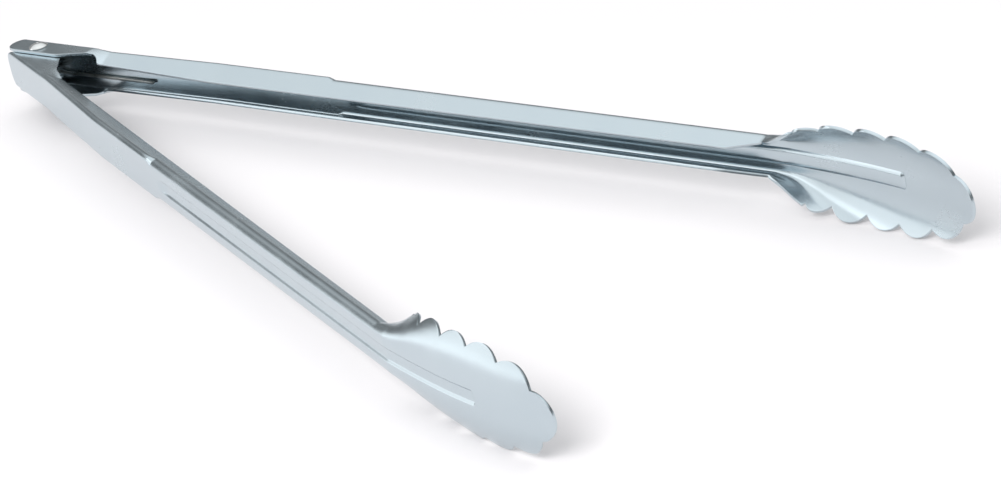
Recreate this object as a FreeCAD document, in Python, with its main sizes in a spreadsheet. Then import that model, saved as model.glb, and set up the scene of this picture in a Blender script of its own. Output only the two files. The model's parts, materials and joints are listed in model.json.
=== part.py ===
import FreeCAD, Part
import math
import os
import Sketcher

# Spring loaded kitchen tongs of the 16 inch size, 404 mm long as they lie on one side, open.
# Z is the hinge axis and the table's normal, X runs from the hinge to the bowls,
# and the two arms open symmetrically about the X axis. Lengths are in mm.

os.makedirs("parts", exist_ok=True)
doc = FreeCAD.newDocument("tongs")
sheet = doc.addObject("Spreadsheet::Sheet", "Sizes")

SIZES = [
    # the whole
    ("pivot_back", 188.5, "pivot behind the middle of the footprint"),
    ("pivot_side", 1.67, "pivot off the middle of the footprint, towards the outer arm"),
    ("reach", 396.9, "pivot to the tip of a bowl"),
    ("half_open", 11.6, "degrees from the centre plane to each arm at rest"),
    ("gauge", 0.9, "sheet thickness"),
    # the hinge end
    ("coil_room", 0.5, "between the coil and the web of the outer arm"),
    ("set_back", 3.0, "the inner arm's web beyond the outer arm's, at the hinge"),
    ("outer_front", 4.0, "pivot to the inner edge of the outer ears"),
    ("inner_front", 3.1, "pivot to the inner edge of the inner ears"),
    ("outer_nose", 13.6, "pivot to the end of the outer ears"),
    ("inner_nose", 12.0, "pivot to the end of the inner web"),
    ("nose_round", 5.0, "corner radius of the inner web's end, in plan"),
    ("ear_end", 24.0, "pivot to the end of the flat ears"),
    ("joggle", 8.0, "length over which the flat ears turn into the channel"),
    ("ear_bend", 1.4, "outside radius of the bends, from the ears to the step"),
    ("ear_slope", 13.5, "pivot to where the front edge of the ears starts to fall"),
    ("outer_relief", 0.9, "pivot plane down to the end of the outer ears' edge"),
    ("inner_relief", 2.3, "pivot plane down to the end of the inner ears' edge"),
    ("outer_flange_start", 6.6, "height of the outer arm's flange at the joggle"),
    ("inner_flange_start", 5.4, "height of the inner arm's flange at the joggle"),
    ("ear_span", 14.0, "between the inner faces of the outer ears"),
    ("ear_gap", 0.2, "side clearance between nested ears"),
    # the straight arm
    ("outer_fall", 1.7, "how much deeper the outer web lies along the arm than at the hinge"),
    ("inner_fall", 2.1, "how much deeper the inner web lies along the arm than at the hinge"),
    ("arm_width", 13.4, "across the bends of the channel, past the step"),
    ("bend", 2.2, "outside radius of the bends, past the step"),
    ("lean", 116.0, "degrees turned by each bend"),
    ("outer_flange_arm", 8.6, "height of the outer flange at the start of the straight run"),
    ("inner_flange_arm", 7.5, "height of the inner flange at the start of the straight run"),
    ("outer_flange_end", 8.1, "height of the outer flange at the end of the straight run"),
    ("inner_flange_end", 5.2, "height of the inner flange at the end of the straight run"),
    ("flange_neck", 5.0, "height of the flange at the neck"),
    ("arm_start", 84.0, "pivot to the straight run of the arm"),
    ("step", 134.5, "pivot to the step where the bends open out"),
    ("step_length", 3.0, "length of that step"),
    ("arm_end", 303.0, "pivot to the end of the straight run"),
    ("neck", 314.9, "pivot to the neck of the bowl"),
    # the bowl
    ("bowl_half", 15.7, "half width over the widest scallops"),
    ("bowl_lift", 15.0, "rise of the tip above the web"),
    # the stiffening rib
    ("rib_start", 140.0, "pivot to the start of the rib"),
    ("rib_end", 367.0, "pivot to the end of the rib"),
    ("rib_width", 5.2, "width of the rib at its foot"),
    ("rib_height", 0.8, "rise of the rib"),
    # the rivet
    ("shank", 2.4, "radius of the rivet shank"),
    ("running", 0.06, "radial clearance of the turning ears"),
    ("head", 3.3, "radius of the rivet head"),
    ("rim", 0.35, "height of the head at its edge"),
    ("dome", 1.5, "height of the rivet head"),
    # the spring
    ("wire", 1.2, "diameter of the spring wire"),
    ("coil_clear", 0.4, "between the rivet shank and the coil"),
    ("coil_pitch", 1.35, "pitch of the coil"),
    ("turns", 3.0, "whole turns, besides the part turn between the legs"),
    ("leg", 50.0, "length of each spring leg along its arm"),
    ("leg_gap", 0.25, "between the end of each leg and the web"),
]
for row, (alias, value, note) in enumerate(SIZES, start=1):
    sheet.set(f"A{row}", note)
    sheet.set(f"B{row}", str(value))
    sheet.setAlias(f"B{row}", alias)
doc.recompute()


def size(alias):
    return float(getattr(sheet, alias))


# ---------------------------------------------------------------- sheet metal
# An arm is drawn along +X from the pivot, its web at -Y and its flanges
# rising towards +Y, the side that faces the other arm.


def section(x, web, half_flat, bend, lean, rim):
    """Closed outline of the bent sheet at one station: web, two bends, two rims."""
    gauge = size("gauge")
    turn = math.radians(lean)

    def half(radius, sign):
        centre = (web + bend, half_flat)
        foot = (centre[0] - radius, half_flat)
        middle = turn / 2
        mid = (
            centre[0] - radius * math.cos(middle),
            centre[1] + radius * math.sin(middle),
        )
        top = (
            centre[0] - radius * math.cos(turn),
            centre[1] + radius * math.sin(turn),
        )
        end = (top[0] + rim * math.sin(turn), top[1] + rim * math.cos(turn))
        points = [FreeCAD.Vector(x, y, sign * z) for y, z in (foot, mid, top, end)]
        return points

    outer_up = half(bend, 1)
    outer_down = half(bend, -1)
    inner_up = half(bend - gauge, 1)
    inner_down = half(bend - gauge, -1)
    edges = [
        Part.LineSegment(outer_up[3], outer_up[2]),
        Part.Arc(outer_up[2], outer_up[1], outer_up[0]),
        Part.LineSegment(outer_up[0], outer_down[0]),
        Part.Arc(outer_down[0], outer_down[1], outer_down[2]),
        Part.LineSegment(outer_down[2], outer_down[3]),
        Part.LineSegment(outer_down[3], inner_down[3]),
        Part.LineSegment(inner_down[3], inner_down[2]),
        Part.Arc(inner_down[2], inner_down[1], inner_down[0]),
        Part.LineSegment(inner_down[0], inner_up[0]),
        Part.Arc(inner_up[0], inner_up[1], inner_up[2]),
        Part.LineSegment(inner_up[2], inner_up[3]),
        Part.LineSegment(inner_up[3], outer_up[3]),
    ]
    return Part.Wire([edge.toShape() for edge in edges])


def rim_for(height, bend, lean):
    """Straight length beyond the bend that brings the rim to a height."""
    turn = math.radians(lean)
    return (height - bend * (1 - math.cos(turn))) / math.sin(turn)


def prism(points, low, high, along):
    """Solid between two levels from an outline of (start, via, end) arcs and corners."""
    edges = []
    last = points[-1][-1]
    for item in points:
        if len(item) == 1:
            edges.append(Part.LineSegment(last, item[0]).toShape())
        else:
            if last.distanceToPoint(item[0]) > 1e-6:
                edges.append(Part.LineSegment(last, item[0]).toShape())
            edges.append(Part.Arc(item[0], item[1], item[2]).toShape())
        last = item[-1]
    face = Part.Face(Part.Wire(edges))
    face.translate(along * low)
    return face.extrude(along * (high - low))


def coil_radius():
    """Mean radius of the spring's coil, which fits around the rivet shank."""
    return size("shank") + size("coil_clear") + size("wire") / 2


def web_depth(side, x):
    """Depth of the web's outer face below the pivot plane, along the arm."""
    hinge = coil_radius() + size("wire") / 2 + size("coil_room") + size("gauge")
    if side == "inner":
        hinge += size("set_back")
    share = (x - size("ear_end")) / (size("arm_start") - size("ear_end"))
    return hinge + size(f"{side}_fall") * min(max(share, 0.0), 1.0)


def floor_at(side, x):
    """Outer face of the web or bowl floor, measured from the pivot plane."""
    start = size("neck") + 6.0
    web = -web_depth(side, start)
    if x <= start:
        return web
    part = (x - start) / (size("reach") - start)
    return web + size("bowl_lift") * (0.42 * part + 0.58 * part**3)


def channel_section(side, x, height, bend):
    """Section of the channel; a tighter bend runs further out to the same flanges."""
    lean = size("lean")
    spread = math.tan(math.radians(lean) / 2)
    corner = size("arm_width") / 2 + size("bend") * (spread - 1)
    flat = corner - bend * spread
    return section(x, -web_depth(side, x), flat, bend, lean, rim_for(height, bend, lean))


def channel(side, ear_width):
    """Ears, joggle and straight channel, each a ruled run between sections."""
    bend = size("bend")
    tight = size("ear_bend")
    ear_end = size("ear_end")
    joggle = ear_end + size("joggle")
    step = size("step")
    past = step + size("step_length")
    ear_height = web_depth(side, 0.0) + size(f"{side}_front") + 0.5
    ear = (ear_width / 2 - tight, tight, 90.0, ear_height - tight)

    def height_at(x):
        share = (x - size("arm_start")) / (size("arm_end") - size("arm_start"))
        first = size(f"{side}_flange_arm")
        return first + (size(f"{side}_flange_end") - first) * share

    stations = [
        section(-size(f"{side}_nose") - 1.0, -web_depth(side, 0.0), *ear),
        section(ear_end, -web_depth(side, ear_end), *ear),
        channel_section(side, joggle, size(f"{side}_flange_start"), tight),
        channel_section(side, size("arm_start"), size(f"{side}_flange_arm"), tight),
        channel_section(side, step, height_at(step), tight),
        channel_section(side, past, height_at(past), bend),
        channel_section(side, size("arm_end"), size(f"{side}_flange_end"), bend),
        channel_section(side, size("neck"), size("flange_neck"), bend),
    ]
    runs = [Part.makeLoft(list(pair), True, True) for pair in zip(stations, stations[1:])]
    body = runs[0]
    for run in runs[1:]:
        body = body.fuse(run)
    return body.removeSplitter()


def blended(keys, at):
    """Smooth values between rows of (place, values...), by Hermite curves."""
    rows = [keys[0], *keys, keys[-1]]
    index = max(i for i, row in enumerate(keys[:-1]) if row[0] <= at or i == 0)
    before, low, high, after = rows[index : index + 4]
    span = high[0] - low[0]
    u = (at - low[0]) / span
    values = []
    for column in range(1, len(low)):
        rise = (high[column] - before[column]) / (high[0] - before[0])
        fall = (after[column] - low[column]) / (after[0] - low[0])
        values.append(
            low[column] * (1 + 2 * u) * (1 - u) ** 2
            + rise * span * u * (1 - u) ** 2
            + high[column] * u * u * (3 - 2 * u)
            + fall * span * u * u * (u - 1)
        )
    return values


def bowl(side):
    """The neck opens out into a shallow dish whose floor climbs to the tip."""
    bend = size("bend")
    lean = size("lean")
    flat = size("arm_width") / 2 - bend
    half = size("bowl_half")
    neck = size("neck")
    # past the neck, half flat, bend radius, lean, rim
    keys = [
        (0.0, flat, bend, lean, rim_for(size("flange_neck"), bend, lean)),
        (8.0, 4.2, 4.0, 84.0, 3.6),
        (14.0, 3.7, 7.4, 66.0, 3.4),
        (20.0, 3.4, 11.2, 57.0, 3.0),
        (30.0, 3.4, half - 0.3, 54.0, 1.2),
        (43.0, 3.4, half + 3.7, 44.0, 1.2),
        (55.0, 3.4, half + 5.3, 42.0, 1.2),
        (68.0, 3.4, half + 4.3, 42.0, 1.2),
        (86.0, 3.4, half + 4.3, 42.0, 1.2),
    ]
    wires = []
    for past in (0, 4, 8, 12, 16, 20, 25, 30, 36, 43, 50, 58, 66, 74, 86):
        x = neck + past * bowl_scale()
        wires.append(section(x, floor_at(side, x), *blended(keys, past)))
    dish = Part.makeLoft(wires, True, False)
    return dish.common(scallops())


def bowl_scale():
    """The scallops are laid out for a bowl 82 long and stretched to fit."""
    return (size("reach") - size("neck")) / 82.0


def scallops():
    """Outline of the bowl in plan: a wing, four lobes a side and one at the tip."""
    half = size("bowl_half")
    reach = size("reach")
    neck = size("neck")
    step = bowl_scale()
    # past the neck and half width: notch before the lobe, then its crest
    lobes = [
        (14.2, 11.4, 18.2, 13.3),
        (22.6, 12.1, 29.4, 15.2),
        (35.8, 12.8, 42.4, 15.7),
        (48.5, 13.2, 55.1, 15.5),
        (62.0, 12.0, 68.6, 13.1),
    ]
    last = (75.1, 7.3)

    def at(past, width, sign):
        return FreeCAD.Vector(neck + past * step, 0, sign * width * half / 15.7)

    def side(sign):
        arcs = []
        for index, (start, low, crest, high) in enumerate(lobes):
            end = lobes[index + 1][:2] if index + 1 < len(lobes) else last
            arcs.append((at(start, low, sign), at(crest, high, sign), at(*end, sign)))
        return arcs

    tip = FreeCAD.Vector(reach, 0, 0)
    up = side(1)
    down = [tuple(reversed(arc)) for arc in reversed(side(-1))]
    wide = half + 8.0
    outline = [(FreeCAD.Vector(neck - 1.0, 0, wide),)]
    outline.append((FreeCAD.Vector(neck + 14.2 * step, 0, wide),))
    outline += up
    outline.append((at(*last, 1), tip, at(*last, -1)))
    outline += down
    outline.append((FreeCAD.Vector(neck + 14.2 * step, 0, -wide),))
    outline.append((FreeCAD.Vector(neck - 1.0, 0, -wide),))
    return prism(outline, -20.0, 20.0, FreeCAD.Vector(0, 1, 0))


def rib_strip(side, low, high, foot, crest):
    """A ridge that follows the floor between two heights above its outer face."""
    start = size("rib_start")
    neck = size("neck")
    end = size("rib_end")
    straight = [start, neck]
    curved = [neck + (end - neck) * i / 8 for i in range(9)]

    def trapezoid(x):
        base = floor_at(side, x)
        corners = [(low, foot), (high, crest), (high, -crest), (low, -foot)]
        points = [FreeCAD.Vector(x, base + lift, z) for lift, z in corners]
        return Part.makePolygon(points + points[:1])

    first = Part.makeLoft([trapezoid(x) for x in straight], True, True)
    second = Part.makeLoft([trapezoid(x) for x in curved], True, False)
    return first.fuse(second).removeSplitter()


def bulged(start, end, bulge):
    """Arc from start to end whose middle stands off the chord to its left."""
    along = (end - start).normalize()
    left = FreeCAD.Vector(-along.y, along.x, 0)
    return (start, (start + end) * 0.5 + left * bulge, end)


def ear_relief(side):
    """What is cut away beside the pivot so that only the rounded ear is left."""
    depth = web_depth(side, 0.0)
    front = size(f"{side}_front")
    nose = size(f"{side}_nose")
    low = -size(f"{side}_relief")
    slope = size("ear_slope")
    knee = size("ear_end")
    vector = FreeCAD.Vector
    if side == "outer":
        # one round nose, from the web over to the front of the ear
        radius = (depth + front) / 2
        nose_edge = [
            (
                vector(radius - nose, -depth, 0),
                vector(-nose, front - radius, 0),
                vector(radius - nose, front, 0),
            )
        ]
    else:
        # cut back to pass the outer arm's web when the tongs are open
        nose_edge = [
            (vector(-nose - 1.0, -depth - 0.05, 0),),
            (vector(-nose - 1.0, -depth / 2, 0),),
            bulged(vector(-nose, -depth * 0.43, 0), vector(-1.5, front, 0), 0.85),
        ]
    if side == "outer":
        # a short notch, then up to the edge of the flange
        foot = (vector(knee + 2.5, low, 0),)
        rise = bulged(vector(knee + 3.0, low, 0), vector(knee + 6.5, low + 2.4, 0), -0.4)
    else:
        # straight on into the lower edge of the flange
        foot = (vector(knee + 1.0, low, 0),)
        rise = (vector(knee + 7.5, low - 0.8, 0),)
    kept = nose_edge + [
        (vector(slope - 3.0, front, 0),),
        bulged(vector(slope - 2.0, front, 0), vector(slope + 3.0, front - 1.4, 0), 0.3),
        foot,
        rise,
        (vector(knee + 14.0, 4.0, 0),),
        (vector(knee + 14.0, -depth - 4.0, 0),),
        (vector(knee, -depth - 0.05, 0),),
    ]
    block = Part.makeBox(nose + knee + 19.0, 40.0, 24.0, vector(-nose - 5.0, -20.0, -12.0))
    return block.cut(prism(kept, -12.0, 12.0, vector(0, 0, 1)))


def nose_corners(side, ear_width):
    """Plan view corners taken off the end of the web."""
    radius = size("nose_round")
    nose = size(f"{side}_nose")
    half = ear_width / 2
    vector = FreeCAD.Vector
    slant = radius * (1 - math.sqrt(0.5))
    kept = [
        (
            vector(radius - nose, 0, half),
            vector(slant - nose, 0, half - slant),
            vector(-nose, 0, half - radius),
        ),
        (
            vector(-nose, 0, radius - half),
            vector(slant - nose, 0, slant - half),
            vector(radius - nose, 0, -half),
        ),
        (vector(radius - nose, 0, -half - 1.0),),
        (vector(3.0, 0, -half - 1.0),),
        (vector(3.0, 0, half + 1.0),),
        (vector(radius - nose, 0, half + 1.0),),
    ]
    block = Part.makeBox(nose + 5.0, 30.0, 24.0, vector(-nose - 5.0, -15.0, -12.0))
    return block.cut(prism(kept, -15.0, 15.0, vector(0, 1, 0)))


def arm_blank(side, ear_width):
    gauge = size("gauge")
    foot = size("rib_width") / 2
    crest = foot - 0.9
    rise = size("rib_height")
    blank = channel(side, ear_width).fuse(bowl(side))
    blank = blank.cut(ear_relief(side))
    if side == "inner":
        blank = blank.cut(nose_corners(side, ear_width))
    blank = blank.fuse(rib_strip(side, gauge / 2, gauge + rise, foot, crest))
    blank = blank.cut(rib_strip(side, -1.0, rise, foot - 0.2, crest - 0.3))
    return blank.removeSplitter()


def arm(side, ear_width, hole_size):
    """Formed sheet arm with its rivet hole bored through both ears."""
    name = f"{side.capitalize()}Arm"
    blank = doc.addObject("Part::Feature", f"{name}Blank")
    blank.Shape = arm_blank(side, ear_width)
    bore = doc.addObject("Part::Cylinder", f"{name}Bore")
    bore.setExpression("Radius", hole_size)
    bore.setExpression("Height", "Sizes.ear_span * 2")
    bore.setExpression("Placement.Base.z", "-Sizes.ear_span")
    cut = doc.addObject("Part::Cut", name)
    cut.Base = blank
    cut.Tool = bore
    cut.Label = f"{side}_arm"
    return cut


outer_width = size("ear_span") + 2 * size("gauge")
inner_width = size("ear_span") - 2 * size("ear_gap")
outer_arm = arm("outer", outer_width, "Sizes.shank")
inner_arm = arm("inner", inner_width, "Sizes.shank + Sizes.running")

# ---------------------------------------------------------------------- rivet
rivet = doc.addObject("PartDesign::Body", "PivotRivet")
rivet.Label = "pivot_rivet"
plane = next(f for f in rivet.Origin.OriginFeatures if f.Role == "XZ_Plane")
profile = rivet.newObject("Sketcher::SketchObject", "RivetProfile")
profile.AttachmentSupport = [(plane, "")]
profile.MapMode = "FlatFace"
half_span = outer_width / 2
shank = size("shank")
head = size("head")
rim = size("rim")
dome = size("dome")
corners = [
    (0.0, 0.0),
    (shank, 0.0),
    (shank, half_span),
    (head, half_span),
    (head, half_span + rim),
    (0.0, half_span + dome),
]
for here, there in zip(corners[:4], corners[1:5]):
    profile.addGeometry(
        Part.LineSegment(FreeCAD.Vector(*here, 0), FreeCAD.Vector(*there, 0)), False
    )
cap = (head**2 + (dome - rim) ** 2) / (2 * (dome - rim))
brow = (cap * math.sin(0.3), half_span + dome - cap * (1 - math.cos(0.3)))
arc = Part.Arc(
    FreeCAD.Vector(*corners[4], 0), FreeCAD.Vector(*brow, 0), FreeCAD.Vector(*corners[5], 0)
)
profile.addGeometry(arc, False)
profile.addGeometry(
    Part.LineSegment(FreeCAD.Vector(*corners[5], 0), FreeCAD.Vector(*corners[0], 0)), False
)
for first, second in ((0, 1), (1, 2), (2, 3)):
    profile.addConstraint(Sketcher.Constraint("Coincident", first, 2, second, 1))
profile.addConstraint(Sketcher.Constraint("Horizontal", 0))
profile.addConstraint(Sketcher.Constraint("Vertical", 1))
profile.addConstraint(Sketcher.Constraint("Horizontal", 2))
profile.addConstraint(Sketcher.Constraint("Vertical", 3))
profile.addConstraint(Sketcher.Constraint("Vertical", 5))
profile.addConstraint(Sketcher.Constraint("Coincident", 0, 1, -1, 1))
profile.addConstraint(Sketcher.Constraint("Coincident", 5, 2, 0, 1))
arc_low, arc_high = (1, 2) if profile.Geometry[4].StartPoint.x > 1.0 else (2, 1)
profile.addConstraint(Sketcher.Constraint("Coincident", 3, 2, 4, arc_low))
profile.addConstraint(Sketcher.Constraint("Coincident", 4, arc_high, 5, 1))
profile.addConstraint(Sketcher.Constraint("PointOnObject", 4, 3, -2))
for number, (edge, point, axis, name, bound) in enumerate(
    (
        (0, 2, "DistanceX", "shank", "Sizes.shank"),
        (1, 2, "DistanceY", "span", "Sizes.ear_span / 2 + Sizes.gauge"),
        (2, 2, "DistanceX", "head", "Sizes.head"),
        (3, 2, "DistanceY", "rim", "Sizes.ear_span / 2 + Sizes.gauge + Sizes.rim"),
        (5, 1, "DistanceY", "dome", "Sizes.ear_span / 2 + Sizes.gauge + Sizes.dome"),
    )
):
    values = (shank, half_span, head, half_span + rim, half_span + dome)
    index = profile.addConstraint(
        Sketcher.Constraint(axis, -1, 1, edge, point, values[number])
    )
    profile.renameConstraint(index, name)
    profile.setExpression(f"Constraints.{name}", bound)
doc.recompute()
turned = rivet.newObject("PartDesign::Revolution", "RivetTurned")
turned.Profile = profile
turned.ReferenceAxis = (profile, ["V_Axis"])
turned.Angle = 360.0
doc.recompute()
mirrored = rivet.newObject("PartDesign::Mirrored", "RivetMirrored")
mirror_plane = next(f for f in rivet.Origin.OriginFeatures if f.Role == "XY_Plane")
mirrored.Originals = [turned]
mirrored.MirrorPlane = (mirror_plane, [""])
rivet.Tip = mirrored

# --------------------------------------------------------------------- spring


def spring_wire():
    """One wire: a leg along the outer arm, the coil, a leg along the inner arm."""
    radius = coil_radius()
    swing = math.radians(size("half_open"))
    wire = size("wire")
    pitch = size("coil_pitch")
    reach = size("leg")
    part_turn = (math.pi - 2 * swing) / (2 * math.pi)
    turns = size("turns") + part_turn
    height = pitch * turns
    helix = Part.makeHelix(pitch, height, radius)
    helix.rotate(FreeCAD.Vector(), FreeCAD.Vector(0, 0, 1), 90.0 + size("half_open"))
    helix.translate(FreeCAD.Vector(0, 0, -height / 2))
    edge = helix.Edges[0]
    start = edge.valueAt(edge.FirstParameter)
    finish = edge.valueAt(edge.LastParameter)

    def leg_end(side, level):
        far = web_depth(side, reach) - size("gauge") - wire / 2 - size("leg_gap")
        sign = 1 if side == "outer" else -1
        x = reach * math.cos(swing) - far * math.sin(swing)
        y = reach * math.sin(swing) + far * math.cos(swing)
        return FreeCAD.Vector(x, sign * y, level)

    outer_end = leg_end("outer", start.z)
    first = Part.makeLine(outer_end, start)
    second = Part.makeLine(finish, leg_end("inner", finish.z))
    ring = Part.Circle(outer_end, (start - outer_end).normalize(), wire / 2).toShape()
    spine = Part.Wire([first, *helix.Edges, second])
    return spine.makePipeShell([Part.Wire([ring])], True, False)


spring = doc.addObject("Part::Feature", "TorsionSpring")
spring.Label = "torsion_spring"
spring.Shape = spring_wire()

# ------------------------------------------------------------------ placement
back = FreeCAD.Vector(-size("pivot_back"), size("pivot_side"), size("bowl_half"))
up = FreeCAD.Vector(0, 0, 1)
flip = FreeCAD.Rotation(FreeCAD.Vector(1, 0, 0), 180)
outer_turn = FreeCAD.Rotation(up, size("half_open"))
inner_turn = FreeCAD.Rotation(up, -size("half_open"))
outer_arm.Placement = FreeCAD.Placement(back, outer_turn.multiply(flip))
inner_arm.Placement = FreeCAD.Placement(back, inner_turn)
rivet.Placement = FreeCAD.Placement(back, FreeCAD.Rotation())
spring.Placement = FreeCAD.Placement(back, FreeCAD.Rotation())
doc.recompute()

for item in doc.Objects:
    if {"Invalid", "Error"} & set(item.State):
        raise SystemExit(f"{item.Name} failed: {item.State}")
for item in (outer_arm, inner_arm, rivet, spring):
    shape = item.Shape
    if shape.isNull() or not shape.isValid():
        raise SystemExit(f"{item.Label} has no valid shape")
    box = shape.BoundBox
    print(
        item.Label, len(shape.Solids), round(shape.Volume, 1),
        [round(v, 2) for v in (box.XMin, box.XMax, box.YMin, box.YMax, box.ZMin, box.ZMax)],
    )
    shape.exportStep(f"parts/{item.Label}.step")
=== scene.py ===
import json
import math
import bmesh
import bpy
from mathutils import Matrix, Vector


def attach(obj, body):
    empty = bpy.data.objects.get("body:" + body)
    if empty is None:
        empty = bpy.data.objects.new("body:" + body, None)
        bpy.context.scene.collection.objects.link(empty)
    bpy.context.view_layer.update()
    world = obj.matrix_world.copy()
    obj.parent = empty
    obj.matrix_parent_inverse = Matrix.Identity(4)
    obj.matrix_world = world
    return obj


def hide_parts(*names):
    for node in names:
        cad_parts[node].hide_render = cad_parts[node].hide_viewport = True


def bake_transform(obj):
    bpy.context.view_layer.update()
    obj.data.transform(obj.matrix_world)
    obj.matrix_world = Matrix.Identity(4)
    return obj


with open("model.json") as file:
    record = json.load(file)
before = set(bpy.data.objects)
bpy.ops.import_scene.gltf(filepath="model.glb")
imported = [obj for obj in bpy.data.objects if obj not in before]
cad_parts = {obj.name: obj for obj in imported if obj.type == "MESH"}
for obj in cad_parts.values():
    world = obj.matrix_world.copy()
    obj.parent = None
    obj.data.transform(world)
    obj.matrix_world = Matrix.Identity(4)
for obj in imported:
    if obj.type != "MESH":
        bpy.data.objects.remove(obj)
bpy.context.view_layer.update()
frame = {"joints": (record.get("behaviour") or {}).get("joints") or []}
pivot = Vector(frame["joints"][0]["pos_m"])
mm = 0.001


def linearColor(code):
    parts = [int(code[i:i + 2], 16) / 255 for i in (0, 2, 4)]
    return tuple(p / 12.92 if p <= 0.04045 else ((p + 0.055) / 1.055) ** 2.4 for p in parts) + (1.0,)


def addNode(tree, kind, settings=None, links=None):
    node = tree.nodes.new(kind)
    for name, value in (settings or {}).items():
        if isinstance(name, str) and name[0].islower():
            setattr(node, name, value)
        else:
            node.inputs[name].default_value = value
    for name, source in (links or {}).items():
        tree.links.new(source, node.inputs[name])
    return node


def finishPiece(name, bm, material):
    mesh = bpy.data.meshes.new(name)
    bm.to_mesh(mesh)
    bm.free()
    mesh.materials.append(material)
    obj = bpy.data.objects.new(name, mesh)
    bpy.context.scene.collection.objects.link(obj)
    return obj


def applyModifiers(obj):
    graph = bpy.context.evaluated_depsgraph_get()
    mesh = bpy.data.meshes.new_from_object(obj.evaluated_get(graph), depsgraph=graph)
    obj.modifiers.clear()
    old = obj.data
    obj.data = mesh
    bpy.data.meshes.remove(old)


print("materials")


def steel(name, look):
    material = bpy.data.materials.new(name)
    material.use_nodes = True
    tree = material.node_tree
    shader = tree.nodes["Principled BSDF"]
    place = addNode(tree, "ShaderNodeTexCoord").outputs["Object"]
    drawn = addNode(tree, "ShaderNodeMapping", {
        "Scale": look["grain"], "Rotation": (0, 0, math.radians(look["turn"]))}, {"Vector": place})
    grain = addNode(tree, "ShaderNodeTexNoise", {"Scale": 1.0, "Detail": 3.0, "Roughness": 0.6},
                    {"Vector": drawn.outputs["Vector"]})
    smudge = addNode(tree, "ShaderNodeTexNoise", {"Scale": look["smudge"], "Detail": 4.0}, {"Vector": place})
    shade = addNode(tree, "ShaderNodeMix", {"data_type": "RGBA", "A": linearColor(look["dark"]),
                                            "B": linearColor(look["light"])}, {"Factor": smudge.outputs["Fac"]})
    wiped = addNode(tree, "ShaderNodeMapRange", {"From Min": 0.3, "From Max": 0.7, "To Min": look["rough"][0],
                                                 "To Max": look["rough"][1]}, {"Value": smudge.outputs["Fac"]})
    rough = addNode(tree, "ShaderNodeMath", {"operation": "MULTIPLY_ADD", 1: look["grainRough"]},
                    {0: grain.outputs["Fac"], 2: wiped.outputs["Result"]})
    lines = addNode(tree, "ShaderNodeBump", {"Strength": look["bump"], "Distance": 0.00002},
                    {"Height": grain.outputs["Fac"]})
    wave = addNode(tree, "ShaderNodeTexNoise", {"Scale": look["wave"], "Detail": 1.0}, {"Vector": place})
    ripple = addNode(tree, "ShaderNodeBump", {"Strength": look["ripple"], "Distance": 0.0004},
                     {"Height": wave.outputs["Fac"], "Normal": lines.outputs["Normal"]})
    shader.inputs["Metallic"].default_value = 1.0
    tree.links.new(shade.outputs["Result"], shader.inputs["Base Color"])
    tree.links.new(rough.outputs["Value"], shader.inputs["Roughness"])
    tree.links.new(ripple.outputs["Normal"], shader.inputs["Normal"])
    return material


# rolled 18-8 stainless sheet, polished after forming: clear but slightly hazy reflections
armLook = {
    "dark": "b6c2c9", "light": "c2cdd2", "rough": (0.17, 0.25), "grainRough": 0.06,
    "grain": (60, 2200, 2200),  # polishing lines 17 mm long and 0.45 mm apart, coarser than real so that they show
    "turn": 0,  # degrees, so that the lines run along the arm
    "smudge": 45, "bump": 0.12,  # wiped patches about 22 mm across
    "wave": 16, "ripple": 0.03,  # the sheet is not quite flat over 60 mm
}
armSteel = {
    "outer": steel("polishedStainlessOuter", {**armLook, "turn": -11.6}),
    "inner": steel("polishedStainlessInner", {**armLook, "turn": 11.6}),
}
# cold-headed stainless rivet: brighter than the sheet, with no direction in its grain
rivetLook = {**armLook, "dark": "c9cbcb", "light": "d8dada", "smudge": 300, "grain": (900, 900, 900)}
rivetSteel = steel("headedRivetSteel", rivetLook)
# hard-drawn spring wire: greyer and duller, with fine lines along it
wireLook = {**armLook, "dark": "9da09f", "light": "b4b6b4", "smudge": 300, "rough": (0.22, 0.34),
            "grain": (400, 3000, 3000)}
wireSteel = steel("drawnSpringWire", wireLook)

print("arms")

# In mm. A section is drawn on the sheet's outer face: along the arm from the pivot (s), across it from its
# middle plane (z), and from the pivot's plane towards the other arm (n).
sides = {
    "outer": {"turn": 11.6, "away": -1, "hinge": 5.4, "web": 7.1, "front": 4.0, "ear": 7.9, "relief": 0.9,
              "noseStart": -8.9, "noseRound": 4.7, "flange": (6.6, 8.6, 8.1)},
    "inner": {"turn": -11.6, "away": 1, "hinge": 8.4, "web": 10.5, "front": 3.1, "ear": 6.8, "relief": 2.3,
              "noseStart": -7.0, "noseRound": 5.0, "noseFlat": 1.8, "flange": (5.4, 7.5, 5.2)},
}
stock = {
    "gauge": 0.9, "half": 6.7, "lean": math.radians(116),  # the channel's half width and its folded sides
    "tight": 1.4, "bend": 2.2,  # bend radius before the step and past it
    "noseEnd": 4.0, "earEnd": 24.0, "joggle": 32.0, "earStop": 38.0, "armStart": 84.0,
    "step": 134.5, "past": 137.5, "armEnd": 303.0, "neck": 314.9, "reach": 396.9,
    "neckFlange": 5.0, "floorStart": 6.0, "lift": 15.0, "slant": 0.42,  # the bowl's floor rises to its tip
    "spare": 0.5,  # the ears' sheet runs on this far before its front edge is trimmed
    "bore": 2.46, "edgeSoft": 0.16,
}
earEdge = {  # the front edge of the ears, from the nose to the flanges
    "noseLow": (-12.0, -3.612), "noseTop": -1.5, "noseBulge": 0.85,
    "corner": (11.5, 16.5), "drop": 1.4, "cornerBulge": 0.3,
    "innerSlope": (25.0, 31.5), "dip": 0.8,
    "outerSlope": (26.5, 27.0, 30.5), "rise": 2.4, "scoopBulge": -0.4, "flangeFront": 4.0,
}
rib = {  # pressed inwards; its start fades in slowly
    "start": 140.0, "fade": 0.12, "faded": 151.0, "end": 367.0, "half": 2.6, "flank": 1.2, "rise": 0.7,
    "corner": 1.3,
}
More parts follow.
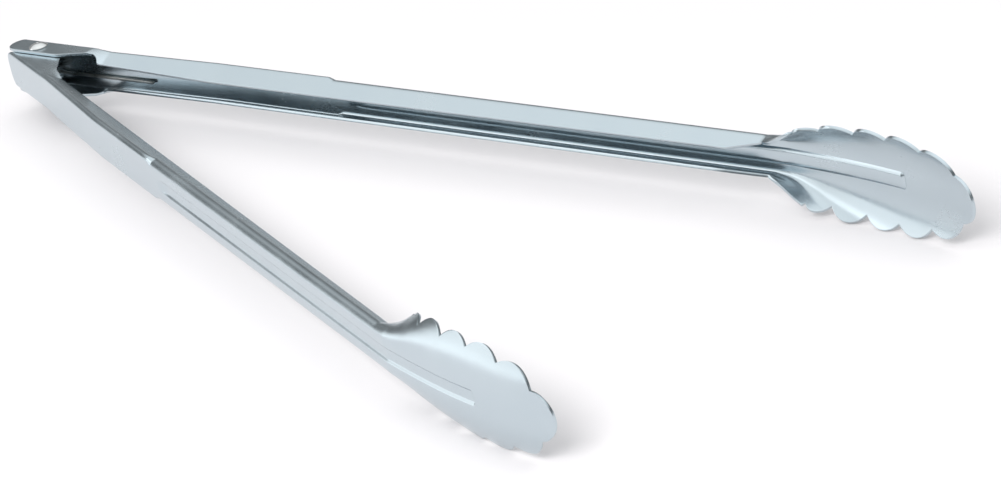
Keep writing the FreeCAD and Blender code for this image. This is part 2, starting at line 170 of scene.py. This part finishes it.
cuts = {"nose": 20, "noseCurve": 1.4, "tip": 18, "lobe": 22, "bend": 10, "rim": 9}  # rows of the mesh
bowlKeys = [  # past the neck, half of the flat floor, bend radius, lean in degrees, rim past the bend
    (0.0, 4.5, 2.2, 116.0, 2.042), (8.0, 4.2, 4.0, 84.0, 3.6), (14.0, 3.7, 7.4, 66.0, 3.4),
    (20.0, 3.4, 11.2, 57.0, 3.0), (30.0, 3.4, 15.4, 54.0, 1.2), (43.0, 3.4, 19.4, 44.0, 1.2),
    (55.0, 3.4, 21.0, 42.0, 1.2), (68.0, 3.4, 20.0, 42.0, 1.2), (86.0, 3.4, 20.0, 42.0, 1.2),
]
lobes = [  # past the neck and half width of a notch, then of the crest after it; the last is the tip
    (14.2, 11.4, 18.2, 13.3), (22.6, 12.1, 29.4, 15.2), (35.8, 12.8, 42.4, 15.7),
    (48.5, 13.2, 55.1, 15.5), (62.0, 12.0, 68.6, 13.1), (75.1, 7.3, 82.0, 0.0),
]


def circleThrough(a, b, c):  # centre and radius
    d = 2 * (a[0] * (b[1] - c[1]) + b[0] * (c[1] - a[1]) + c[0] * (a[1] - b[1]))
    squares = [p[0] ** 2 + p[1] ** 2 for p in (a, b, c)]
    x = (squares[0] * (b[1] - c[1]) + squares[1] * (c[1] - a[1]) + squares[2] * (a[1] - b[1])) / d
    y = (squares[0] * (c[0] - b[0]) + squares[1] * (a[0] - c[0]) + squares[2] * (b[0] - a[0])) / d
    return x, y, math.hypot(a[0] - x, a[1] - y)


def arcHeight(a, b, c, at):  # height of the arc through three points
    x, y, radius = circleThrough(a, b, c)
    rise = math.sqrt(max(radius ** 2 - (at - x) ** 2, 0.0))
    return y + rise if b[1] > y else y - rise


def bulged(a, c, bulge, at):  # height of the arc from a to c that bulges by so much
    length = math.dist(a, c)
    middle = ((a[0] + c[0]) / 2 - (c[1] - a[1]) / length * bulge,
              (a[1] + c[1]) / 2 + (c[0] - a[0]) / length * bulge)
    return arcHeight(a, middle, c, at)


def lerp(at, marks):  # straight runs between marks
    for (x0, y0), (x1, y1) in zip(marks, marks[1:]):
        if at <= x1:
            return y0 + (y1 - y0) * max(at - x0, 0) / (x1 - x0)
    return marks[-1][1]


def hermite(keys, at):  # smooth run through rows of keys
    rows = [keys[0], *keys, keys[-1]]
    i = max(k for k in range(len(keys) - 1) if keys[k][0] <= at or k == 0)
    before, low, high, after = rows[i:i + 4]
    span = high[0] - low[0]
    u = (at - low[0]) / span
    values = []
    for k in range(1, len(low)):
        rise = (high[k] - before[k]) / (high[0] - before[0])
        fall = (after[k] - low[k]) / (after[0] - low[0])
        values.append(low[k] * (1 + 2 * u) * (1 - u) ** 2 + rise * span * u * (1 - u) ** 2
                      + high[k] * u * u * (3 - 2 * u) + fall * span * u * u * (u - 1))
    return values


def earFront(side, s):  # front edge of ear and flange
    front, low = side["front"], -side["relief"]
    cornerStart, cornerEnd = earEdge["corner"]
    noseTop, fallen = (earEdge["noseTop"], front), (cornerEnd, front - earEdge["drop"])
    last = (stock["earStop"], earEdge["flangeFront"])
    if side["away"] > 0 and s < noseTop[0]:
        return bulged(earEdge["noseLow"], noseTop, earEdge["noseBulge"], s)
    if s < cornerStart:
        return front
    if s < cornerEnd:
        return bulged((cornerStart, front), fallen, earEdge["cornerBulge"], s)
    if side["away"] > 0:
        foot, dip = earEdge["innerSlope"]
        return lerp(s, [fallen, (foot, low), (dip, low - earEdge["dip"]), last])
    foot, scoop, lip = earEdge["outerSlope"]
    scoopStart, scoopEnd = (scoop, low), (lip, low + earEdge["rise"])
    if scoop < s < lip:
        return bulged(scoopStart, scoopEnd, earEdge["scoopBulge"], s)
    return lerp(s, [fallen, (foot, low), scoopStart, scoopEnd, last])


# A shape is the web's depth, half of its flat, the bend's radius and angle, and the sheet's half length.
def bentShape(depth, radius, height):
    lean = stock["lean"]
    spread = math.tan(lean / 2)
    flat = stock["half"] + stock["bend"] * (spread - 1) - radius * spread
    flange = (height - radius * (1 - math.cos(lean))) / math.sin(lean)
    return depth, flat, radius, lean, flat + radius * lean + flange


def webDepth(side, s):
    return lerp(s, [(stock["earEnd"], side["hinge"]), (stock["armStart"], side["web"])])


def shapesAt(side, s):  # one shape and its weight, or two where the ears turn into flanges
    hinge, tight = side["hinge"], stock["tight"]
    start, arm, end = side["flange"]
    flat = side["ear"] - tight
    reach = flat + tight * math.pi / 2 + hinge + side["front"] + stock["spare"] - tight
    ear = (hinge, flat, tight, math.pi / 2, reach)
    if s <= stock["earEnd"]:
        return [(ear, 1.0)]
    if s <= stock["joggle"]:
        share = (s - stock["earEnd"]) / (stock["joggle"] - stock["earEnd"])
        bottom = webDepth(side, stock["joggle"])
        return [(ear, 1 - share), (bentShape(bottom, tight, start), share)]
    if s <= stock["neck"]:
        radius = lerp(s, [(stock["step"], tight), (stock["past"], stock["bend"])])
        height = lerp(s, [(stock["joggle"], start), (stock["armStart"], arm), (stock["armEnd"], end),
                          (stock["neck"], stock["neckFlange"])])
        return [(bentShape(webDepth(side, s), radius, height), 1.0)]
    flat, radius, lean, rim = hermite(bowlKeys, s - stock["neck"])
    floorStart = stock["neck"] + stock["floorStart"]
    part = max(s - floorStart, 0) / (stock["reach"] - floorStart)
    lean = math.radians(lean)
    depth = side["web"] - stock["lift"] * (stock["slant"] * part + (1 - stock["slant"]) * part ** 3)
    return [((depth, flat, radius, lean, flat + radius * lean + rim), 1.0)]


def onShape(shape, along):  # n and z of a place so far along the sheet from its middle
    depth, flat, radius, lean, _ = shape
    if along <= flat:
        return -depth, along
    turn = min((along - flat) / radius, lean)
    rest = along - flat - radius * turn
    return (-depth + radius * (1 - math.cos(turn)) + rest * math.sin(turn),
            flat + radius * math.sin(turn) + rest * math.cos(turn))


def halfWidth(s):  # outline of the bowl in plan
    past = s - stock["neck"]
    for low, high in zip(lobes, lobes[1:]):
        if low[0] - 0.001 <= past <= high[0] + 0.001:
            return arcHeight(low[:2], low[2:], high[:2], past)
    return math.inf


def trimmed(side, s, shapes):  # the sheet's edge as a share of its half length
    if s < stock["earStop"]:
        front = earFront(side, s)
        bends = [flat + radius * lean for (_, flat, radius, lean, _), _ in shapes]
        low = sum(w * onShape(shape, b)[0] for (shape, w), b in zip(shapes, bends))
        top = sum(w * onShape(shape, shape[4])[0] for shape, w in shapes)
        share = min(max((front - low) / (top - low), 0.0), 1.0)
        return [((*shape[:4], b + (shape[4] - b) * share), w) for (shape, w), b in zip(shapes, bends)]
    width = halfWidth(s)
    depth, flat, radius, lean, edge = shapes[0][0]
    if width >= onShape(shapes[0][0], edge)[1]:
        return shapes
    reach = flat + radius * math.sin(lean)
    if width < reach:
        edge = flat + radius * math.asin((width - flat) / radius)
    else:
        edge = flat + radius * lean + (width - reach) / math.cos(lean)
    return [((depth, flat, radius, lean, edge), 1.0)]


webMarks = [0.0, 0.8, 1.45, 1.7, 1.95, 2.2, 2.45, 2.65, 2.9]  # close together on the rib's flank
columns = [("mark", z) for z in webMarks] + [("web", k / 4) for k in range(1, 5)]
columns += [("bend", k / cuts["bend"]) for k in range(1, cuts["bend"] + 1)]
columns += [("rim", k / cuts["rim"]) for k in range(1, cuts["rim"] + 1)]


def columnAt(shape, kind, share):  # how far along the sheet a column of the mesh lies
    _, flat, radius, lean, edge = shape
    split = min(flat + radius * lean, flat + 0.75 * (edge - flat))  # where the bend gives way to the rim
    if kind == "mark":
        return share
    if kind == "web":
        return webMarks[-1] + (flat - webMarks[-1]) * share
    if kind == "bend":
        return flat + (split - flat) * share
    return split + (edge - split) * share


def ribRise(s, z):
    across = rib["corner"] - (rib["half"] - abs(z))
    ends = rib["corner"] - min((s - rib["start"]) * rib["fade"], rib["end"] - s)
    inside = rib["corner"] - (math.hypot(max(across, 0), max(ends, 0)) + min(max(across, ends), 0))
    share = min(max(inside / rib["flank"], 0), 1)
    return rib["rise"] * share * share * (3 - 2 * share)


def noseLine(side, n, z):  # where the end of the arm lies for a place across it
    start, radius = side["noseStart"], side["noseRound"]
    if side["away"] < 0:
        off = n + side["hinge"] - radius
    else:
        off = max(abs(z) - side["noseFlat"], 0)
    return start - math.sqrt(max(radius ** 2 - off ** 2, 0))


def spaced(start, end, step):
    count = max(round((end - start) / step), 1)
    return [start + (end - start) * k / count for k in range(count)]


def rowsAlong():  # where the arm is cut across, closer together where its shape changes
    neck = stock["neck"]
    cornerStart, cornerEnd = earEdge["corner"]
    spacing = [
        (stock["noseEnd"], 0.8), (cornerStart, 0.5), (cornerEnd, 0.9), (stock["earEnd"], 0.35),
        (stock["joggle"], 0.8), (stock["earStop"], 3.0), (stock["armStart"], 5.0), (stock["step"], 0.3),
        (stock["past"], 0.5), (rib["faded"], 6.0), (stock["armEnd"], 1.0), (neck, 0.6), (neck + lobes[0][0], 0.0),
    ]
    rows = []
    for (start, step), (end, _) in zip(spacing, spacing[1:]):
        rows += spaced(start, end, step)
    for low, high in zip(lobes, lobes[1:]):
        x, y, radius = circleThrough(low[:2], low[2:], high[:2])
        first = math.atan2(low[1] - y, low[0] - x)
        last = math.atan2(high[1] - y, high[0] - x)
        turns = [first + (last - first) * k / cuts["lobe"] for k in range(cuts["lobe"])]
        rows += [neck + x + radius * math.cos(turn) for turn in turns]
    rows += spaced(rib["end"] - 2.0, rib["end"] + 1.0, 0.25)
    rows.append(neck + lobes[-1][0])
    return sorted(set(round(s, 4) for s in rows))


def armMesh(side):  # a grid whose points are moved on to the sheet's outer face
    stations = [("nose", (k / cuts["nose"]) ** cuts["noseCurve"]) for k in range(cuts["nose"])]
    stations += [("row", s) for s in rowsAlong()]
    stations += [("tip", k / cuts["tip"]) for k in range(1, cuts["tip"] + 1)]
    across = [(-1, *c) for c in reversed(columns[1:])] + [(1, *c) for c in columns]
    bm = bmesh.new()
    bmesh.ops.create_grid(bm, x_segments=len(stations) - 1, y_segments=len(across) - 1, size=1.0)
    notch, notchHalf, tip, _ = lobes[-1]
    tipStart = stock["neck"] + notch
    tipX, _, tipRadius = circleThrough((notch, notchHalf), (tip, 0.0), (notch, -notchHalf))
    cache = {}

    def shapes(s):
        if s not in cache:
            cache[s] = trimmed(side, s, shapesAt(side, s))
        return cache[s]

    def place(s, sign, kind, share):
        n = z = 0
        for shape, weight in shapes(s):
            a, b = onShape(shape, columnAt(shape, kind, share))
            n += weight * a
            z += weight * b
        return n, sign * z

    turn = Matrix.Rotation(math.radians(side["turn"]), 3, "Z")
    for vert in bm.verts:
        row = stations[round((vert.co.x + 1) / 2 * (len(stations) - 1))]
        sign, kind, share = across[round((vert.co.y + 1) / 2 * (len(across) - 1))]
        if row[0] == "row":
            s = row[1]
            n, z = place(s, sign, kind, share)
        elif row[0] == "nose":
            start = side["noseStart"]
            flat = start + (stock["noseEnd"] - start) * row[1]
            n, z = place(flat, sign, kind, share)
            s = flat + (1 - row[1]) * (noseLine(side, *place(start, sign, kind, share)) - start)
        else:
            _, z = place(tipStart, sign, kind, share)
            end = stock["neck"] + tipX + math.sqrt(max(tipRadius ** 2 - z * z, 0))
            s = tipStart + (end - tipStart) * row[1]
            depth, flat, radius, lean, edge = shapesAt(side, s)[0][0]
            far = abs(z)
            along = far if far <= flat else flat + radius * math.asin(min((far - flat) / radius, 1))
            n, _ = onShape((depth, flat, radius, lean, edge), along)
        n += ribRise(s, z)
        vert.co = pivot + turn @ Vector((s, side["away"] * n, z)) * mm
    bmesh.ops.remove_doubles(bm, verts=bm.verts, dist=0.00002)
    bmesh.ops.dissolve_degenerate(bm, dist=0.000005, edges=bm.edges)
    outward = turn @ Vector((0, -side["away"], 0))
    if sum(face.normal.dot(outward) * face.calc_area() for face in bm.faces) < 0:
        bmesh.ops.reverse_faces(bm, faces=bm.faces)
    for face in bm.faces:
        face.smooth = True
    return bm


def drillAt(name, radius):  # a plain cylinder on the hinge axis
    bm = bmesh.new()
    bmesh.ops.create_cone(bm, cap_ends=True, segments=48, radius1=radius * mm, radius2=radius * mm, depth=0.04)
    bmesh.ops.translate(bm, verts=bm.verts, vec=pivot)
    mesh = bpy.data.meshes.new(name)
    bm.to_mesh(mesh)
    bm.free()
    obj = bpy.data.objects.new(name, mesh)
    bpy.context.scene.collection.objects.link(obj)
    return obj


drill = drillAt("drill", stock["bore"])
for word, side in sides.items():
    bm = armMesh(side)
    bm.normal_update()
    arm = finishPiece(word + "ArmSheet", bm, armSteel[word])
    solid = arm.modifiers.new("gauge", "SOLIDIFY")
    solid.thickness = stock["gauge"] * mm
    solid.offset = -1
    solid.use_even_offset = True
    solid.use_quality_normals = True
    bore = arm.modifiers.new("bore", "BOOLEAN")
    bore.object = drill
    bore.operation = "DIFFERENCE"
    bore.solver = "EXACT"
    edge = arm.modifiers.new("edge", "BEVEL")
    edge.width = stock["edgeSoft"] * mm
    edge.segments = 2
    edge.limit_method = "ANGLE"
    edge.angle_limit = math.radians(50)
    applyModifiers(arm)
    for polygon in arm.data.polygons:
        polygon.use_smooth = True
    arm.data.set_sharp_from_angle(angle=math.radians(40))
    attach(arm, word)
    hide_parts(word + "_arm")
    print(word, len(arm.data.polygons))
bpy.data.objects.remove(drill)

print("rivet")

rivet = {  # mm: radii of shank and head, heights of the head's rim and dome, half length, dimple on top
    "shank": 2.4, "head": 3.3, "rim": 0.35, "dome": 1.5, "span": 7.9, "seat": 0.02,
    "dimple": 0.75, "sink": 0.22, "edgeSoft": 0.08,
}


def rivetProfile():  # radius and height, from the lower head's middle to the upper head's
    domeLift = rivet["dome"] - rivet["rim"]
    ball = (rivet["head"] ** 2 + domeLift ** 2) / (2 * domeLift)
    seat = rivet["span"] + rivet["seat"]
    top = [(rivet["shank"], 0.0), (rivet["shank"], rivet["span"]), (rivet["head"], seat)]
    for k in range(15):
        r = rivet["head"] * (1 - k / 14)
        lift = rivet["rim"] + math.sqrt(ball ** 2 - r ** 2) - (ball - domeLift)
        dip = rivet["sink"] * max(1 - (r / rivet["dimple"]) ** 2, 0) ** 1.5
        top.append((r, rivet["span"] + lift - dip))
    return [(r, -h) for r, h in reversed(top[1:])] + top


bm = bmesh.new()
chain = [bm.verts.new((r * mm, 0, h * mm)) for r, h in rivetProfile()]
for a, b in zip(chain, chain[1:]):
    bm.edges.new((a, b))
bmesh.ops.spin(bm, geom=list(bm.verts) + list(bm.edges), axis=(0, 0, 1), cent=(0, 0, 0),
               angle=math.tau, steps=72)
bmesh.ops.remove_doubles(bm, verts=bm.verts, dist=0.000002)
bmesh.ops.dissolve_degenerate(bm, dist=0.000001, edges=bm.edges)
bmesh.ops.recalc_face_normals(bm, faces=bm.faces)
bmesh.ops.translate(bm, verts=bm.verts, vec=pivot)
for face in bm.faces:
    face.smooth = True
rivetPiece = finishPiece("domedRivet", bm, rivetSteel)
soft = rivetPiece.modifiers.new("edge", "BEVEL")
soft.width = rivet["edgeSoft"] * mm
soft.segments = 2
soft.limit_method = "ANGLE"
soft.angle_limit = math.radians(40)
applyModifiers(rivetPiece)
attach(rivetPiece, "outer")
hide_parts("pivot_rivet")

print("spring")

spring = {  # mm: wire, coil's mean radius and pitch, how far along the arm a leg ends, its gap to the web
    "wire": 1.2, "coil": 3.4, "pitch": 1.35, "turns": 3.0, "leg": 50.0, "gap": 0.25,
    "swing": math.radians(sides["outer"]["turn"]), "steps": 150, "legSteps": 12,
    "held": 0.7,  # this much of the coil at each end turns fully with its leg
}


def springPath():  # outer arm's leg, coil upwards, inner arm's leg
    swing = spring["swing"]
    turns = spring["turns"] + (math.pi - 2 * swing) / math.tau
    height = spring["pitch"] * turns
    coil = []
    for k in range(spring["steps"] + 1):
        share = k / spring["steps"]
        angle = math.pi / 2 + swing + math.tau * turns * share
        coil.append((spring["coil"] * math.cos(angle), spring["coil"] * math.sin(angle), height * (share - 0.5)))

    def legEnd(side, sign, level):
        far = webDepth(side, spring["leg"]) - stock["gauge"] - spring["wire"] / 2 - spring["gap"]
        x = spring["leg"] * math.cos(swing) - far * math.sin(swing)
        y = spring["leg"] * math.sin(swing) + far * math.cos(swing)
        return x, sign * y, level

    first = legEnd(sides["outer"], 1, -height / 2)
    last = legEnd(sides["inner"], -1, height / 2)
    count = spring["legSteps"]
    legs = [[tuple(a + (b - a) * k / count for a, b in zip(end, joint)) for k in range(count)]
            for end, joint in ((first, coil[0]), (last, coil[-1]))]
    return legs[0] + coil + legs[1][::-1], height


path, height = springPath()
line = bpy.data.curves.new("wirePath", "CURVE")
line.dimensions = "3D"
spline = line.splines.new("POLY")
spline.points.add(len(path) - 1)
for point, (x, y, z) in zip(spline.points, path):
    point.co = (*(pivot + Vector((x, y, z)) * mm), 1)
line.bevel_depth = spring["wire"] / 2 * mm
line.bevel_resolution = 6
line.use_fill_caps = True
pathObject = bpy.data.objects.new("wirePath", line)
bpy.context.scene.collection.objects.link(pathObject)
bm = bmesh.new()
bm.from_mesh(bpy.data.meshes.new_from_object(pathObject.evaluated_get(bpy.context.evaluated_depsgraph_get())))
bpy.data.objects.remove(pathObject)
bmesh.ops.remove_doubles(bm, verts=bm.verts, dist=0.000001)
bmesh.ops.recalc_face_normals(bm, faces=bm.faces)
for face in bm.faces:
    face.smooth = len(face.verts) < 5
wirePiece = finishPiece("springWire", bm, wireSteel)
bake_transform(wirePiece)
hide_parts("torsion_spring")

print("stage")

table = {"size": 6.0, "dark": "dfdcdd", "light": "e1dedf", "fleck": 3.0, "rough": 0.7, "shine": 0.1}
bm = bmesh.new()
bmesh.ops.create_grid(bm, x_segments=1, y_segments=1, size=table["size"])
# matt painted board: even and nearly white, with hardly any shine
floorMaterial = bpy.data.materials.new("paleTable")
floorMaterial.use_nodes = True
tree = floorMaterial.node_tree
place = addNode(tree, "ShaderNodeTexCoord").outputs["Object"]
fleck = addNode(tree, "ShaderNodeTexNoise", {"Scale": table["fleck"], "Detail": 3.0}, {"Vector": place})
tone = addNode(tree, "ShaderNodeMix", {"data_type": "RGBA", "A": linearColor(table["dark"]),
                                       "B": linearColor(table["light"])}, {"Factor": fleck.outputs["Fac"]})
board = tree.nodes["Principled BSDF"]
tree.links.new(tone.outputs["Result"], board.inputs["Base Color"])
board.inputs["Roughness"].default_value = table["rough"]
board.inputs["Specular IOR Level"].default_value = table["shine"]
mesh = bpy.data.meshes.new("floor")
bm.to_mesh(mesh)
bm.free()
mesh.materials.append(floorMaterial)
floor = bpy.data.objects.new("floor", mesh)
bpy.context.scene.collection.objects.link(floor)

# the room is grey at the horizon, dark from 11 to 24 degrees up and bright overhead: the direction's Z, brightness
levels = [(0.0, 0.56), (0.08, 0.5), (0.2, 0.17), (0.4, 0.22), (0.5, 0.75), (0.7, 1.2), (1.0, 1.45)]
world = bpy.data.worlds.new("studio")
bpy.context.scene.world = world
world.use_nodes = True
tree = world.node_tree
direction = addNode(tree, "ShaderNodeTexCoord").outputs["Generated"]
up = addNode(tree, "ShaderNodeSeparateXYZ", None, {"Vector": direction}).outputs["Z"]
glow = addNode(tree, "ShaderNodeValToRGB", None, {"Fac": up})
ramp = glow.color_ramp
while len(ramp.elements) < len(levels):
    ramp.elements.new(0.5)
for element, (position, level) in zip(ramp.elements, levels):
    element.position = position
    element.color = (level * 0.97, level * 0.99, level, 1)
tree.links.new(glow.outputs["Color"], tree.nodes["Background"].inputs["Color"])
tree.nodes["Background"].inputs["Strength"].default_value = 1.0


lights = {  # metres and watts; one that isn't mirrored lights the table but doesn't show in the steel
    "keyBox": {"direction": (0.5, -0.66, 0.62), "distance": 1.9, "size": (1.0, 0.7), "power": 27,
               "mirrored": False},
    "sideCard": {"direction": (-0.687, -0.641, 0.342), "distance": 1.6, "size": (1.3, 1.16), "power": 6.0,
                 "mirrored": True},
}
for name, box in lights.items():
    light = bpy.data.lights.new(name, "AREA")
    light.shape = "RECTANGLE"
    light.size, light.size_y = box["size"]
    light.energy = box["power"]
    lamp = bpy.data.objects.new(name, light)
    bpy.context.scene.collection.objects.link(lamp)
    aim = Vector(box["direction"]).normalized()
    lamp.location = aim * box["distance"]
    lamp.rotation_euler = aim.to_track_quat("Z", "Y").to_euler()
    lamp.visible_glossy = box["mirrored"]

print("camera")

shot = {  # metres from the pivot, degrees, and mm
    "offset": (1.17183, -0.56795, 0.4278), "azimuth": 58.02, "elevation": 22.19, "roll": -12.61, "lens": 143.32,
}
camera = bpy.data.objects.new("camera", bpy.data.cameras.new("camera"))
bpy.context.scene.collection.objects.link(camera)
azimuth, elevation = math.radians(shot["azimuth"]), math.radians(shot["elevation"])
back = Vector((math.sin(azimuth) * math.cos(elevation), -math.cos(azimuth) * math.cos(elevation),
               math.sin(elevation)))
camera.location = pivot + Vector(shot["offset"])
level = back.to_track_quat("Z", "Y").to_matrix()
camera.rotation_euler = (level @ Matrix.Rotation(math.radians(shot["roll"]), 3, "Z")).to_euler()
camera.data.sensor_width = 36
camera.data.lens = shot["lens"]
camera.data.clip_start = 0.05
camera.data.clip_end = 40
bpy.context.scene.camera = camera
bpy.context.scene.view_settings.view_transform = "Standard"
